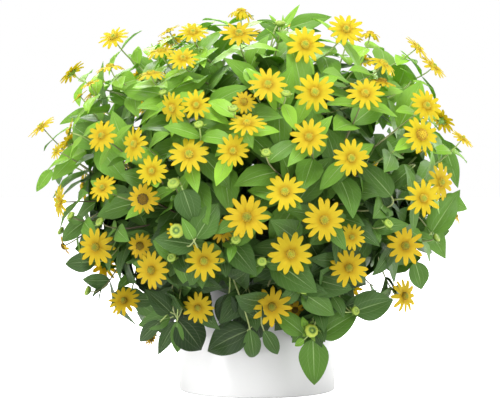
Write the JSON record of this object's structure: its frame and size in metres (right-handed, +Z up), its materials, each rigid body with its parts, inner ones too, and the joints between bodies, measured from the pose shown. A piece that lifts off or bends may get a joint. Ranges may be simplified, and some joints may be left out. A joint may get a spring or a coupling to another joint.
{
  "type": "potted flowering plant",
  "caption": "Plain round pot of soil with a dense mound of leafy stems carrying small yellow daisy blooms and buds all round",
  "frame": {"origin": "middle of the pot's underside, on the surface that it stands on", "axes": "+Z up along the pot's axis, -Y towards the side seen in the picture, +X to that side's right"},
  "size_m": [0.3376, 0.3269, 0.2961],
  "materials": {
    "pot": "smooth white satin glaze",
    "soil": "dark crumbly potting soil",
    "foliage": "fresh green leaves and stems with a slight sheen",
    "petals": "golden yellow petals, satin, slightly translucent",
    "disc": "greenish yellow, finely grained flower centre"
  },
  "bodies": {
    "root": {"pot": "pot", "soil": "soil", "leafy_stem_1": "foliage", "leafy_stem_2": "foliage", "leafy_stem_3": "foliage", "leafy_stem_4": "foliage", "leafy_stem_5": "foliage", "leafy_stem_6": "foliage", "leafy_stem_7": "foliage", "leafy_stem_8": "foliage", "leafy_stem_9": "foliage", "bloom_01": "petals", "bloom_02": "petals", "bloom_03": "petals", "bloom_04": "petals", "bloom_05": "petals", "bloom_06": "petals", "bloom_07": "petals", "bloom_08": "petals", "bloom_09": "petals", "bloom_10": "petals", "bloom_11": "petals", "bloom_12": "petals", "bloom_13": "petals", "bloom_14": "petals", "bloom_15": "petals", "bloom_16": "petals", "bloom_17": "petals", "bloom_18": "petals", "bloom_19": "petals", "bloom_20": "petals", "bloom_21": "petals", "bloom_22": "petals", "bloom_23": "petals", "bloom_24": "petals", "bloom_25": "petals", "bloom_26": "petals", "bloom_27": "petals", "bloom_28": "petals", "bloom_29": "petals", "bloom_30": "petals", "bloom_31": "petals", "bloom_32": "petals", "bloom_33": "petals", "bloom_34": "petals", "bloom_35": "petals", "bloom_36": "petals", "bloom_37": "petals", "bloom_38": "petals", "bloom_39": "petals", "bloom_40": "petals", "bloom_41": "petals", "bloom_42": "petals", "bloom_43": "petals", "bloom_44": "petals", "bloom_45": "petals", "bloom_46": "petals", "bloom_47": "petals", "bloom_48": "petals", "bloom_49": "petals"}
  },
  "joints": []
}
